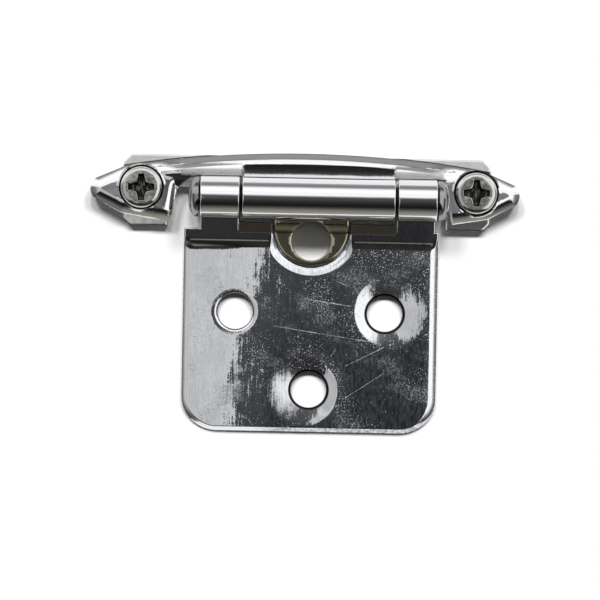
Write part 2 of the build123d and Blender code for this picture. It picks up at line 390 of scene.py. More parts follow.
# Points of the arc through three points, from the first to the last
def threePointArc(first, middle, last, count):
    (ax, ay), (bx, by), (cx, cy) = first, middle, last
    d = 2 * (ax * (by - cy) + bx * (cy - ay) + cx * (ay - by))
    a2, b2, c2 = ax * ax + ay * ay, bx * bx + by * by, cx * cx + cy * cy
    centre = np.array((
        a2 * (by - cy) + b2 * (cy - ay) + c2 * (ay - by),
        a2 * (cx - bx) + b2 * (ax - cx) + c2 * (bx - ax),
    )) / d
    start, mid, end = (atan2(p[1] - centre[1], p[0] - centre[0]) for p in (first, middle, last))
    sweep = (end - start + pi) % (2 * pi) - pi
    if (mid - start) * sweep < 0:
        sweep -= np.sign(sweep) * 2 * pi
    radius = hypot(ax - centre[0], ay - centre[1])
    angle = start + sweep * np.linspace(0, 1, count)
    return centre + radius * np.column_stack((np.cos(angle), np.sin(angle)))


doorLeaf = {
    "sheet": 1.2, "halfWidth": 20.9, "bottomY": -38.2, "corner": 5.8, "shoulderY": -5.0, "middleY": -3.95,
    "bendY": -7.6, "bendRadius": 3.0, "curlEnd": 220, "knuckleRound": 0.18, "upperFrom": 2.1,
    "joggle": ((-30, -8.0, -7.05, -6.75, -5.0, 0.0), (0, 0, 0.13, 0.32, 0.56, 1.25)),
    "notchY": -4.7, "notchRadius": 6.4, "holeRadius": 2.9, "holeEdge": 0.5,
    # Rim: its width as (all round, more at the right, more at the left), then steps as (places, heights)
    "rimWidth": (0.8, 0.5, 0.3), "rimNotch": 1.4, "rimShoulder": 0.25, "rimTilt": 42,
    "rimBottom": ((-1, 0.85, 2), (2.46, 0, 0)),
    "rimBevels": ((0, 0.46, 0.57, 1, 2), (0.39, 0.143, 0.132, 0, 0)),
    # Fall at the left side as (slope, width), and the x where it starts at each y
    "fall": (-0.028, 5), "fallFrom": ((-37, -23, -10), (-11.0, -9.2, -5.2)),
    # Holes as (centre, shift of the dish, its width, its depth)
    "holes": (
        ((-12.3, -18.6), (-0.1, 0), 0.4, 0.03),
        ((12.3, -18.6), (1.1, 0.4), 2.7, 0.22),
        ((0, -31.3), (-1.2, -0.2), 2.5, 0.24),
    ),
    # Radius of the painted shade round each hole's wall, and scratches as (start, end, width)
    "holeShadeRadius": (3.1, 3.42, 3.42),
    "scratches": (
        ((-1.0, -16.3), (6.4, -17.4), 0.13), ((-5.8, -20.9), (10.6, -23.3), 0.09),
        ((6.1, -27.2), (12.2, -24.1), 0.1), ((6.1, -32.5), (12.2, -28.4), 0.08),
        ((4.2, -13.3), (6.1, -14.1), 0.1), ((3.6, -25.6), (4.3, -24.6), 0.1),
    ),
}
toAxis = hypot(doorLeaf["bendY"], barrel["axis"])
neckAngle = atan2(barrel["axis"], -doorLeaf["bendY"]) - asin(barrel["radius"] / toAxis)
plateEndY = doorLeaf["bendY"] - (doorLeaf["bendRadius"] + doorLeaf["sheet"]) * tan(neckAngle / 2)


# Sheet steel with bright chrome, buffed along Y after pressing: fine lines make the reflections streaky,
# dust, smudges, a grey film and a few scratches from handling break up the dark parts,
# and a dark ring round each hole's wall is painted shade
# Real buffing lines are finer than a pixel, so they are drawn coarser, about 0.15 mm apart
def leafChrome():
    size = doorLeaf
    material, add = newMaterial("buffedChromeSheet")
    place, (x, y, z) = objectPlace(add)
    offNeck = add(fade, y, size["bendY"], size["bendY"] - 1)
    patch = add(fade, grain(add, place, (0.13, 0.13, 0.13), 1.0), 0.4, 0.6, 0.7, 0.6)
    dust = add(minus, grain(add, place, (4.5, 4.0, 4.0), 1.0), patch)
    specks = add(times, add(fade, dust, 0.0, 0.12), offNeck)
    smudge = add(fade, grain(add, place, (0.16, 0.2, 0.16), 5.0), 0.48, 0.66)
    dabs = add(fade, grain(add, place, (3.4, 2.6, 3.4), 3.0), 0.4, 0.62, 0.06, 0.3)
    smudge = product(add, smudge, dabs, offNeck)
    scratches = 0.0
    for first, last, width in size["scratches"]:
        line = add(fade, fromLine(add, x, y, first, last), width, 0.2 * width)
        scratches = add(larger, line, scratches)
    broken = add(fade, grain(add, place, (1.2, 1.2, 1.2)), 0.4, 0.6, 0.35, 0.9)
    worn = add(larger, specks, add(larger, smudge, add(times, scratches, broken)))

    # The film grows towards the lower right and keeps off the left side, the right rim and the dishes
    film = add(fade, grain(add, place, (2.6, 0.8, 2.6), 6.0), 0.25, 0.75)
    lower = add(fade, add(timesPlus, x, 0.5, add(times, y, -1)), 6.0, 34.0, 0.35, 1.0)
    film = product(add, film, lower, add(fade, x, -9.5, -5.0), add(fade, x, 19.6, 18.6))
    # Painted shade: a dark ring at each hole's wall
    holeEdge = 0.0
    for (centre, *_), holeShadeRadius in zip(size["holes"], size["holeShadeRadius"]):
        radius = fromPoint(add, x, y, centre)
        holeEdge = add(larger, add(fade, radius, holeShadeRadius, holeShadeRadius - 0.12), holeEdge)
        film = add(times, film, add(fade, radius, 4.5, 7.5, 0.1, 1.0))

    # Torn ledge between the outer knuckles
    sheared = product(
        add, add(fade, y, -5.9, -5.5), add(fade, fromMiddle(add, x), 13.0, 12.8), add(fade, z, 2.4, 2.2),
    )
    roughness = add(larger, add(timesPlus, worn, 0.5, 0.05), add(times, sheared, 0.38))
    colour = add(blend, film, hexColour("#E6E8EB"), hexColour("#7C828B"))
    colour = add(blend, sheared, colour, hexColour("#57514A"))
    colour = add(blend, holeEdge, colour, hexColour("#2A2926"))
    normal = leaningNormal(add, place, (
        ((7.0, 0.22, 7.0), 0.012), ((2.4, 0.12, 2.4), 0.008), ((3.5, 3.5, 3.5), 0.008),
        ((0.9, 0.9, 0.9), 0.008), ((0.14, 0.14, 0.14), 0.01),
    ), (0, -0.04, 0))
    metal(add, colour, roughness, normal)
    return material


# Height gained by the neck, below as an arc and a straight slope, above with a small joggle
def neckBelow(y):
    radius = doorLeaf["bendRadius"] + doorLeaf["sheet"]
    along = np.maximum(y - plateEndY, 0)
    turn = radius * sin(neckAngle)
    rise = radius - np.sqrt(radius ** 2 - np.minimum(along, turn) ** 2)
    return rise + np.maximum(along - turn, 0) * tan(neckAngle)


def neckAbove(y):
    return softSteps(y, *doorLeaf["joggle"])


# The rolled sheet falls away a little towards its left side: the slope eases in over a few millimetres
def leftFall(x, y):
    slope, width = doorLeaf["fall"]
    t = np.clip((np.interp(y, *doorLeaf["fallFrom"]) - x) / width, 0, None)
    return slope * width * np.where(t < 1, t ** 3 - t ** 4 / 2, t - 0.5) * ease((-7.4 - y) / 0.8)


# Rim of the leaf: wide and rolled at the sides, steep at the bottom, narrow at the shoulder,
# and a double bevel round the notch
def leafRim(outline):
    size = doorLeaf
    x, y = outline.T
    outward = outline - insetOutline(outline, 1)
    allRound, right, left = size["rimWidth"]
    width = allRound + right * np.maximum(outward[:, 0], 0) ** 2 + left * np.maximum(-outward[:, 0], 0) ** 2
    notch = (np.abs(x) < size["notchRadius"] + 0.1) & (y > size["notchY"] - size["notchRadius"] - 0.1)
    width = np.where(notch, size["rimNotch"], width.clip(0.3, 1.4))
    width = width + (size["rimShoulder"] - width) * ease((y + 8.5) / 2.8)
    share = np.linspace(0, 1, 15)
    rolled = np.array(rolledRim(1, size["rimTilt"], 15))[:, 1]
    steep = softSteps(share, *size["rimBottom"], 0.06)
    bottom = np.clip(-outward[:, 1], 0, 1) ** 2
    bevels = softSteps(share, *size["rimBevels"], 0.04)
    bevels -= bevels[-1]
    return [
        (width * s, width * np.where(notch, b, r + (d - r) * bottom))
        for s, r, d, b in zip(share, rolled, steep, bevels)
    ]


# Rings of a dished hole, from the flat to the back: the outer rings are drawn a little to one side
def dishedHole(centre, shift, width, depth):
    size = doorLeaf
    radius, curve, top = size["holeRadius"], size["holeEdge"], size["sheet"]
    edge = radius + curve
    centre, shift = np.array(centre), np.array(shift)
    rings = [(centre + shift, edge + width + 0.15, top)]
    for out in np.linspace(1, 0, 16):
        rings.append((centre + shift * out, edge + width * out, top - depth * (1 - out) ** 1.25))
    for turn in np.radians(np.linspace(0, 90, 8))[1:]:
        rings.append((centre, edge - curve * sin(turn), top - depth - curve * (1 - cos(turn))))
    return rings + [(centre, radius, 0)]


# A flat sheet with a rim and dished holes is raised into the neck by its y,
# and the section of neck and curl is carried along X for each knuckle
def makeDoorLeaf():
    size = doorLeaf
    half, low, corner = size["halfWidth"], size["bottomY"] + size["corner"], size["corner"]
    lean = degrees(asin((size["middleY"] - size["notchY"]) / size["notchRadius"]))
    reach = barrel["outerStart"] + 0.6
    stepLeft, stepRight = barrel["offset"] - reach, barrel["offset"] + reach
    outline = divideRuns(np.vstack((
        arc((-half + corner, low), corner, 180, 270, 15), arc((half - corner, low), corner, 270, 360, 15),
        ((half, size["shoulderY"]), (stepRight, size["shoulderY"]), (stepRight, size["middleY"])),
        arc((0, size["notchY"]), size["notchRadius"], lean, -180 - lean, 41),
        ((stepLeft, size["middleY"]), (stepLeft, size["shoulderY"]), (-half, size["shoulderY"])),
    )), 0.6)
    holes = [dishedHole(*hole) for hole in size["holes"]]
    lines = [y + d for y in size["joggle"][0][1:4] for d in (-0.09, -0.04, 0.04, 0.09)]
    parts = sheetParts(outline, leafRim(outline), size["sheet"], holes, 0.6, lines)
    for points, _ in parts:
        share = points[:, 2] / size["sheet"]
        x, y = points[:, 0], points[:, 1]
        points[:, 2] += share * (neckAbove(y) + leftFall(x, y)) + (1 - share) * neckBelow(y)

    neckY = np.linspace(size["shoulderY"] - 0.3, 0, 12)
    curlStart = degrees(neckAngle) - 90
    outer = roundAxis(barrel["radius"], np.linspace(curlStart, size["curlEnd"], 90))
    inner = roundAxis(barrel["bore"], np.linspace(size["curlEnd"], curlStart, 70))
    below = np.column_stack((neckY, neckBelow(neckY) - 0.01))
    above = np.column_stack((neckY, size["sheet"] + neckAbove(neckY) + 0.01))[::-1]
    section = np.vstack((below[:-1], outer, inner, above[1:]))
    middle = (barrel["outerStart"] + barrel["outerEnd"]) / 2
    half = (barrel["outerEnd"] - barrel["outerStart"]) / 2
    for centre in (barrel["offset"] - middle, barrel["offset"] + middle):
        parts += sweptParts(section, centre - half, centre + half, size["knuckleRound"])
    makePiece(
        "doorLeaf", "door_leaf", "door", chromeSheet, parts, chromeWing, size["upperFrom"],
    )


hingePin = {"radius": 2.2, "flat": 0.4, "headRadius": 3.3, "gap": 0.3, "height": 2.0, "bluntness": 2.5}


# Chrome on the pin's heads; its stem is plain steel, painted near black as the shade in the gaps between the
# knuckles
def pinChrome():
    material, add = newMaterial("chromePinShadedStem")
    place, (x, y, z) = objectPlace(add)
    stemEnd = barrel["outerEnd"] + hingePin["gap"]
    radius = fromPoint(add, y, z, (0, barrel["axis"]))
    stem = add(times, add(fade, radius, 2.35, 2.25), add(fade, fromMiddle(add, x), stemEnd + 0.05, stemEnd))
    # Painted shade: the stem, seen only in the gaps between knuckles, is near black
    colour = add(blend, stem, hexColour("#949496"), hexColour("#23211D"))
    normal = leaningNormal(add, place, (((1.5, 1.5, 1.5), 0.012),))
    metal(add, colour, add(timesPlus, stem, 0.3, 0.1), normal)
    return material


# A stem with a blunt dome at each end, turned round the axis; its underside is cut flat in the middle
def makeHingePin():
    size = hingePin
    end = barrel["outerEnd"]
    angle = np.linspace(0, pi / 2, 24)
    dome = np.column_stack((
        end + size["gap"] + (size["height"] - size["gap"]) * np.sin(angle) ** (2 / size["bluntness"]),
        size["headRadius"] * np.cos(angle) ** (2 / size["bluntness"]),
    ))
    half = np.vstack((((0, size["radius"]), (end + size["gap"], size["radius"])), dome))
    profile = np.vstack((half[::-1] * (-1, 1), half[1:])) + (barrel["offset"], 0)
    points, faces = turnedPart(profile, barrel["axis"])
    inMiddle = np.abs(points[:, 0] - barrel["offset"]) < barrel["middleEnd"]
    lowest = barrel["axis"] - size["radius"] + size["flat"]
    points[inMiddle, 2] = np.maximum(points[inMiddle, 2], lowest)
    makePiece("hingePin", "hinge_pin", "door", chromePin, [(points, faces)])


wingScrew = {
    "x": (-28.05, 26.85), "y": 1.45, "floor": 2.0, "radius": 3.43, "height": 2.0, "side": 1.3, "top": 2.5,
    "shank": 1.75, "shankEnd": 0.05, "armLength": 2.15, "armWidth": 0.5, "flare": 0.75, "middle": 0.3,
    "depth": 1.5, "taper": 12, "edge": 0.07,
}


# Distance from the nearer wing screw: the plane is folded midway between the two
def fromScrews(add, x, y):
    left, right = wingScrew["x"]
    folded = add(absolute, add(minus, x, (left + right) / 2))
    return fromPoint(add, folded, y, ((right - left) / 2, wingScrew["y"]))


# Bright zinc on a cold-headed screw, painted lighter towards the rim as a sheen; the cross recess and the
# side of the head are painted dark as shade, with lighter flecks in the recess
def screwSteel():
    material, add = newMaterial("zincPlatedScrewSteel")
    place, (x, y, z) = objectPlace(add)
    radius = fromScrews(add, x, y)
    # Painted shade: the cross recess and the side of the head are dark, with lighter flecks in the recess
    recess = add(times, add(fade, radius, 2.5, 2.35), add(fade, z, 3.9, 3.75))
    dark = add(larger, recess, add(fade, radius, 3.34, 3.41))  # the side of the head is dark too
    flecks = add(fade, grain(add, place, (2.4, 1.2, 2.4)), 0.5, 0.62)
    inside = add(blend, flecks, hexColour("#25231F"), hexColour("#6B675D"))
    # Painted sheen: the head is lighter towards its rim
    colour = add(blend, add(fade, radius, 1.6, 3.2), hexColour("#ABABA7"), hexColour("#CFCFCB"))
    colour = add(blend, dark, colour, inside)
    normal = leaningNormal(add, place, (((2.0, 2.0, 2.0), 0.03), ((0.5, 0.5, 0.5), 0.04)))
    metal(add, colour, add(timesPlus, dark, 0.2, 0.17), normal)
    return material


# Screw head: at each angle a line runs from the rim over the crown to the edge of the cross,
# down its side and to the middle
# An arm of the cross widens towards the middle by the square of the share of its length that is left
def makeScrew(name, node, x):
    size = wingScrew
    radius, floor, height, top, edge = (size[key] for key in ("radius", "floor", "height", "top", "edge"))
    angle = np.radians(np.arange(0, 360, 1.25))
    fold = (angle + pi / 4) % (pi / 2) - pi / 4
    reach = np.linspace(size["middle"], 1.1 * size["armLength"], 400)[:, None]
    left = np.clip(1 - reach * np.cos(fold) / size["armLength"], 0, 1)
    inCross = (left > 0) & (reach * np.abs(np.sin(fold)) < size["armWidth"] + size["flare"] * left ** 2)
    cross = np.where(inCross, reach, size["middle"]).max(0)
    cut = np.minimum(cross, top - edge)
    topZ = floor + height

    def ring(distance, z):
        distance = np.broadcast_to(distance, len(angle))
        flat = np.column_stack((x + distance * np.cos(angle), size["y"] + distance * np.sin(angle)))
        return level(flat, z)

    t = np.linspace(0, 1, 14)
    crownR = (1 - t) ** 2 * radius + 2 * t * (1 - t) * (radius - 0.1) + t ** 2 * top
    crownZ = floor + (1 - t) ** 2 * size["side"] + 2 * t * (1 - t) * height + t ** 2 * height
    rows = [
        ring(0, size["shankEnd"]), ring(size["shank"], size["shankEnd"]),
        ring(size["shank"], floor), ring(radius, floor),
    ]
    rows += [ring(r, z) for r, z in zip(crownR, crownZ)]
    start = top + 0.02
    rows += [ring(start + (cut + edge - start) * share, topZ) for share in np.linspace(0.15, 1, 6)]
    rows += [ring(cut + edge * (1 - sin(a)), topZ - edge * (1 - cos(a))) for a in (0.4, 0.8, 1.2, pi / 2)]
    slope = tan(radians(size["taper"]))
    for down in (0.5 * size["depth"], size["depth"]):
        rows.append(ring(np.maximum(cut - down * slope, 0.15), topZ - down))
    rows.append(ring(0, topZ - size["depth"] - 0.1))
    makePiece(name, node, "frame", screwMetal, [ringPart(rows)])


frameWing = {
    "offset": -1.2, "base": 1.2, "rimHeight": 0.8, "wall": 0.99, "wallRise": 0.83, "bevel": 0.79,
    "bevelRise": 0.37, "top": 3.2, "shell": 1.0, "halfLength": 35.2, "crownY": 7.5, "shoulder": (5.9, 5.05),
    "tipUpper": (0.9, 2.9), "tipY": 1.15, "tipLower": (0.6, -0.35), "ear": (5.2, -2.8),
    "corner": (12.5, -4.0), "barInner": 4.65, "earInner": 22.6, "earFlare": 0.7, "earTilt": (43, 8),
    # Slopes of the top: the valley as (fall, curve, reach), the bar's lean as (slope, reach),
    # and the rolled edge of the left ear as (width, depth)
    "valley": (-0.364, 0.0654, 2.4), "barLean": (0.16, 1.1), "earRoll": (0.9, 0.3), "earLean": 0.07,
    "pocket": 3.6, "cup": 3.85, "pocketFloor": 2.0, "screwHole": 2.0, "curlEnd": 235, "knuckleRound": 0.18,
    "crestY": 5.6, "lipY": 3.65, "tabY": 2.7, "insideLeft": 4.2, "insideRight": 1.5, "grid": 0.24,
}


# The same plating as on the leaf, here on the pressed wing: smoother, with soft waves from the press,
# and torn grey steel where the bar was sheared
def wingChrome():
    size = frameWing
    material, add = newMaterial("pressedChromeSheet")
    place, (x, y, z) = objectPlace(add)
    # The bar's inner edge, off the middle knuckle and the ears
    sheared = product(
        add, add(fade, y, 4.9, 4.6), add(fade, y, 3.4, 3.6), add(fade, z, 2.2, 2.5),
        add(fade, fromMiddle(add, x), 12.5, 12.7), add(fade, add(absolute, x), 21.8, 21.2),
    )
    torn = grain(add, place, (2.5, 2.5, 2.5))
    # Painted shade: the wall of the screw pocket is near black, as the gap round the screw head
    pocket = add(fade, fromScrews(add, x, y), size["pocket"] + 0.1, size["pocket"] + 0.04)
    colour = add(blend, sheared, hexColour("#E8E8EA"), hexColour("#C9C9C6"))
    colour = add(blend, pocket, colour, hexColour("#161513"))
    normal = leaningNormal(add, place, (
        ((0.25, 2.0, 2.0), 0.005), ((3.5, 3.5, 3.5), 0.006), ((0.15, 0.15, 0.15), 0.004),
    ))
    metal(add, colour, add(timesPlus, add(times, sheared, torn), 0.7, 0.05), normal)
    return material


# Outline of the wing, anticlockwise from its lower left corner, with the tips and the crown as arcs
def wingOutline(size):
    half = size["halfLength"]
    tip = threePointArc(
        (half - size["tipLower"][0], size["tipLower"][1]), (half, size["tipY"]),
        (half - size["tipUpper"][0], size["tipUpper"][1]), 17,
    )
    shoulder = np.array((half - size["shoulder"][0], size["shoulder"][1]))
    crown = threePointArc(shoulder, (0, size["crownY"]), shoulder * (-1, 1), 121)

    def run(first, last, count):
        return np.linspace(first, last, count, endpoint=False)

    corner = np.array((half - size["corner"][0], size["corner"][1]))
    ear = np.array((half - size["ear"][0], size["ear"][1]))
    right = np.vstack((run(corner, ear, 14), run(ear, tip[0], 10), tip[:-1], run(tip[-1], shoulder, 10)))
    left = np.vstack((
        run(shoulder, tip[-1], 10), tip[:0:-1], run(tip[0], ear, 10), run(ear, corner, 14),
    )) * (-1, 1)
    bottom = run(corner * (-1, 1), corner, 90)
    return np.vstack((bottom, right, crown[:-1], left)) + (size["offset"], 0)


# Distance from each point to the nearest straight side of a closed outline
def sideDistance(points, outline):
    step = np.roll(outline, -1, axis=0) - outline
    best = np.full(len(points), np.inf)
    for block in np.array_split(np.arange(len(outline)), 12):
        away = points[:, None] - outline[block]
        along = np.clip((away * step[block]).sum(2) / (step[block] ** 2).sum(1), 0, 1)
        best = np.minimum(best, np.linalg.norm(away - along[..., None] * step[block], axis=2).min(1))
    return best


# Shape of the wing's top between its bevel and the barrel: over the middle knuckle it falls into a valley,
# over the outer knuckles it leans back towards the bevel, and the left ear rolls over at its inner edge
def wingTop(x, y):
    size = frameWing
    fall, curve, reach = size["valley"]
    inward = np.clip(size["crestY"] - y, 0, reach)
    middle = ease((barrel["middleEnd"] + 0.1 - np.abs(x - barrel["offset"])) / 0.2)
    valley = fall * inward + curve * inward ** 2
    along = np.abs(x - size["offset"])
    slope, width = size["barLean"]
    lean = slope * np.minimum(inward, width) * ease(y - 3.0) * ease((26 - along) / 4)
    halfWay = size["barInner"] / 2
    edgeX = size["earInner"] + size["earFlare"] * (halfWay - y) / (halfWay - size["corner"][1])
    rollWidth, rollDepth = size["earRoll"]
    rolled = np.clip(1 - (-x - edgeX) / rollWidth, 0, 1.2) * (x < -20) * ease((size["barInner"] - 1 - y) / 2)
    return valley * middle + lean * (1 - middle) - rollDepth * rolled ** 2


# Height of the rounded ears over the distance from their edge: the tilt eases evenly from steep to gentle
def earHeight(depth, reach):
    turn = np.radians(np.linspace(*frameWing["earTilt"], 40))
    run = np.linspace(0, reach, len(turn))
    climb = np.concatenate(((0,), np.cumsum(np.tan((turn[1:] + turn[:-1]) / 2)) * run[1]))
    return np.interp(depth, run, climb - climb[-1] + frameWing["top"])


# The wing is one flat mesh that is raised twice, for its top and its underside, with walls round its border
# Loops along the folds and rings round the screws keep those edges crisp
def makeFrameWing():
    size = frameWing
    outline = wingOutline(size)
    low, high, lip, tab = size["corner"][1] - 1, size["barInner"], size["lipY"], size["tabY"]
    inner, flare = size["earInner"], size["earFlare"]
    pocket, cup, hole, shell, top = (size[key] for key in ("pocket", "cup", "screwHole", "shell", "top"))
    tabLeft, tabRight = barrel["offset"] - barrel["middleEnd"], barrel["offset"] + barrel["middleEnd"]
    slant = flare * (low - high) / (high - size["corner"][1])
    corners = (
        (-inner + slant, low), (inner - slant, low), (inner - flare, lip), (tabRight, lip), (tabRight, tab),
        (tabLeft, tab), (tabLeft, lip), (-inner + flare, lip),
    )
    radii = (0.1, 0.1, size["insideRight"], 0.1, 0.1, 0.1, 0.1, size["insideLeft"])
    window = roundedOutline(corners, radii, 0.4, 15)
    places = np.cumsum((0, size["wall"], size["bevel"]))
    heights = size["base"] + size["rimHeight"] + np.cumsum((0, size["wallRise"], size["bevelRise"]))
    underEnd = shell + 1.19
    depths = [0] + [p + d for p in places for d in (-0.07, 0, 0.07) if p + d > 0]
    depths += [0.3, 0.6, 1.35, 1.55, underEnd]
    loops = [insetOutline(outline, d) for d in depths] + [window]
    edges = loopEdges(loops)
    centres = [np.array((x, wingScrew["y"])) for x in wingScrew["x"]]
    cupRadii = (hole, pocket, pocket + 0.08, cup, cup + 0.12, cup + 0.35)

    def fromScrew(points):
        return np.min([np.linalg.norm(points - centre, axis=1) for centre in centres], axis=0)

    points = np.vstack(loops)
    far = fromScrew(points) > cupRadii[-1] + 0.1
    onOutline = np.arange(len(points)) < len(outline)
    keep = (far | onOutline)[edges].all(1)
    edges = edges[keep]
    rings = [circle(centre, r) for centre in centres for r in cupRadii]
    edges = np.vstack((edges, loopEdges(rings) + len(points)))
    loops += rings
    inside = insidePoints(outline.min(0), outline.max(0), size["grid"], loops, 0.1)
    besideTab = [x + d for x in (tabLeft, tabRight) for d in (-0.1, 0, 0.1)]
    inside = np.vstack((inside, [(x, y) for x in besideTab for y in np.arange(4.9, 6.0, 0.2)]))
    points = np.vstack(loops)
    used = np.zeros(len(points), bool)
    used[edges.ravel()] = True
    order = np.cumsum(used) - 1
    flat, triangles = flatTriangles(np.vstack((points[used], inside)), order[edges])

    centre = flat[triangles].mean(1)
    body = insideOutline(centre, outline) & ~insideOutline(centre, window)
    radius = fromScrew(flat)
    depth = np.where(insideOutline(flat, outline), sideDistance(flat, outline), 0)
    slope = softSteps(depth, np.append(places, 20), np.append(heights, top))
    ears = ease((np.abs(flat[:, 0] - size["offset"]) - 20) / 5)
    slope += ears * (earHeight(depth, places[-1]) - slope)
    slope += np.where(depth > size["wall"], wingTop(flat[:, 0], flat[:, 1]), 0)
    slope -= size["earLean"] * (flat[:, 1] - wingScrew["y"]) * ears * np.clip(depth / places[-1], 0, 1)
    rise = top - np.clip((radius - cup) / 0.12, 0, 9) * 0.9
    drop = np.where(radius < pocket + 0.08, (pocket + 0.08 - radius).clip(0, 0.08) ** 2 * 8, 0)
    above = np.maximum(slope, rise) - drop
    below = np.interp(depth, (shell, underEnd), (size["base"], top - shell))
    below = np.where(radius < cup + 0.05, size["base"], below)
    ringRadius = fromScrew(centre)
    upper = triangles[body & (ringRadius > pocket)]
    lower = triangles[body & (ringRadius > hole)]
    sides = np.vstack((upper[:, (0, 1)], upper[:, (1, 2)], upper[:, (2, 0)]))
    _, first, count = np.unique(np.sort(sides, 1), axis=0, return_index=True, return_counts=True)
    border = sides[first[count == 1]]
    border = border[fromScrew(flat[border].mean(1)) > pocket + 0.04]
    total = len(flat)
    walls = np.column_stack((border[:, 1], border[:, 0], border[:, 0] + total, border[:, 1] + total))
    points = np.vstack((level(flat, above), level(flat, below)))
    parts = [(points, upper.tolist() + (lower + total).tolist() + walls.tolist())]
    pocketTop = float(above[np.argmin(np.abs(radius - pocket))])
    floor = size["pocketFloor"]
    sections = ((pocket, pocketTop), (pocket, floor), (hole, floor), (hole, size["base"]))
    for place in centres:
        parts.append(ringPart([level(circle(place, r), h) for r, h in sections]))
    curlStart = degrees(asin((top - shell - barrel["axis"]) / barrel["radius"]))
    section = np.vstack((
        roundAxis(barrel["radius"], np.linspace(curlStart, size["curlEnd"], 100)),
        roundAxis(barrel["bore"], np.linspace(size["curlEnd"], curlStart, 80)),
    ))
    parts += sweptParts(section, tabLeft, tabRight, size["knuckleRound"])
    makePiece("frameWing", "frame_wing", "frame", chromeWing, parts)


basePlate = {
    "sheet": 1.2, "left": -31.0, "right": 29.2, "top": 7.0, "bottom": -4.7, "pad": 7.2, "stripY": 1.48,
    "stripLean": -0.095, "chamfer": 1.2, "strap": 6.1, "tongueY": -4.7, "holeY": -6.8, "holeRadius": 3.2,
    "holeEdge": 0.2, "screwHole": 1.78, "beadY": -3.5, "beadTop": 1.2, "beadRamp": 1.3, "beadHeight": 0.9,
}


# Thinner chrome on the plate behind: duller, with painted shade tinted olive on the tongue under the barrel,
# and a painted contact shadow in the seam along the crown of the wing
def plateChrome():
    material, add = newMaterial("thinChromePlate")
    place, (x, y, _) = objectPlace(add)
    # Painted shade, tinted olive, on the tongue under the barrel
    sheltered = add(times, add(fade, y, -2.0, -3.2), add(fade, add(absolute, x), 6.6, 6.3))
    tongueShadeMottle = add(straight, grain(add, place, (0.5, 0.5, 0.5)), 0.3, 0.7, 0.75, 1.0)
    colour = add(blend, add(times, sheltered, tongueShadeMottle), hexColour("#DCDCDC"), hexColour("#A39C80"))
    # Painted contact shadow: a dark line in the seam along the crown of the wing
    setback, shoulderY = frameWing["shoulder"]
    reach, sag = frameWing["halfLength"] - setback, frameWing["crownY"] - shoulderY
    crownRadius = (reach ** 2 + sag ** 2) / (2 * sag)
    crownCentre = (frameWing["offset"], frameWing["crownY"] - crownRadius)
    fromCrown = add(absolute, add(minus, fromPoint(add, x, y, crownCentre), crownRadius))
    colour = add(blend, add(fade, fromCrown, 0.3, 0.12), colour, hexColour("#2E2D2B"))
    normal = leaningNormal(add, place, (((0.3, 2.0, 2.0), 0.004), ((1.0, 1.0, 1.0), 0.004)))
    metal(add, colour, 0.1, normal)
    return material


# The plate is a flat sheet; a bead crosses its strap, and its upper strip leans back a little
def makeBasePlate():
    size = basePlate
    sheet, cut, strap, pad, strip = (size[key] for key in ("sheet", "chamfer", "strap", "pad", "stripY"))
    low, high, left, right = size["bottom"], size["top"], size["left"], size["right"]
    outline = divideRuns(np.vstack((
        ((left, low + cut), (left + cut, low), (left + pad, low), (left + pad, strip), (-strap, strip)),
        arc((0, size["tongueY"]), strap, 180, 360, 31),
        ((strap, strip), (right - pad, strip), (right - pad, low), (right - cut, low), (right, low + cut)),
        ((right, high - cut), (right - cut, high), (left + cut, high), (left, high - cut)),
    )), 0.6)
    turns = np.radians(np.linspace(0, 90, 5))
    middle, radius, edge = (0, size["holeY"]), size["holeRadius"], size["holeEdge"]
    tongueHole = [(middle, radius + edge * (1 - sin(a)), sheet - edge * (1 - cos(a))) for a in turns]
    holes = [tongueHole + [(middle, radius, 0)]]
    holes += [[((x, wingScrew["y"]), size["screwHole"], z) for z in (sheet, 0)] for x in wingScrew["x"]]
    half, ramp = size["beadTop"] / 2, size["beadRamp"]
    folds = [fold + d for fold in (half, half + ramp) for d in (-0.06, 0.06)]
    lines = sorted(size["beadY"] + side * fold for side in (-1, 1) for fold in folds)
    parts = sheetParts(outline, rolledRim(0.25, 40, 6), sheet, holes, 0.5, lines)
    for points, _ in parts:
        away = np.abs(points[:, 1] - size["beadY"]) - half
        bead = size["beadHeight"] * softSteps(away, (-9, 0, ramp, 99), (1, 1, 0, 0), 0.05)
        lean = size["stripLean"] * np.maximum(points[:, 1] - 4, 0) * points[:, 2] / sheet
        points[:, 2] += np.where(np.abs(points[:, 0]) < strap + 0.01, bead, lean)
    makePiece("basePlate", "base_plate", "frame", chromePlate, parts)


closingSpring = {
    "sheet": 0.45, "width": 2.2, "halfSpan": 5.3, "footZ": 1.23, "crownZ": 2.42, "edge": 0.06,
    "pressed": 0.72,
}


# Rolled spring strip: dull grey steel with faint lines along its length
def springSteel():
    material, add = newMaterial("rolledSpringSteel")
    place, _ = objectPlace(add)
    rolling = (0.3, 5.0, 5.0)
    streak = add(straight, grain(add, place, rolling), 0.3, 0.7, 0.28, 0.45)
    metal(add, hexColour("#77736B"), streak, leaningNormal(add, place, ((rolling, 0.02),)))
    return material


# Bowed strip: an arc in the XZ plane and the same arc set off by the sheet, carried along Y
def makeClosingSpring():
    size = closingSpring
    span, foot, crown, sheet = size["halfSpan"], size["footZ"], size["crownZ"], size["sheet"]
    under = threePointArc((-span, foot), (0, crown), (span, foot), 41)
    away = unit(under - (0, crown - (span ** 2 + (crown - foot) ** 2) / (2 * (crown - foot))))
    half = size["width"] / 2
    section = np.vstack((under, (under + sheet * away)[::-1]))
    points, faces = sweptParts(section, -half, half, size["edge"])[0]
    parts = [(points[:, (1, 0, 2)], faces)]
    piece = makePiece("closingSpring", "closing_spring", "frame", springMetal, parts)
    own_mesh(piece)


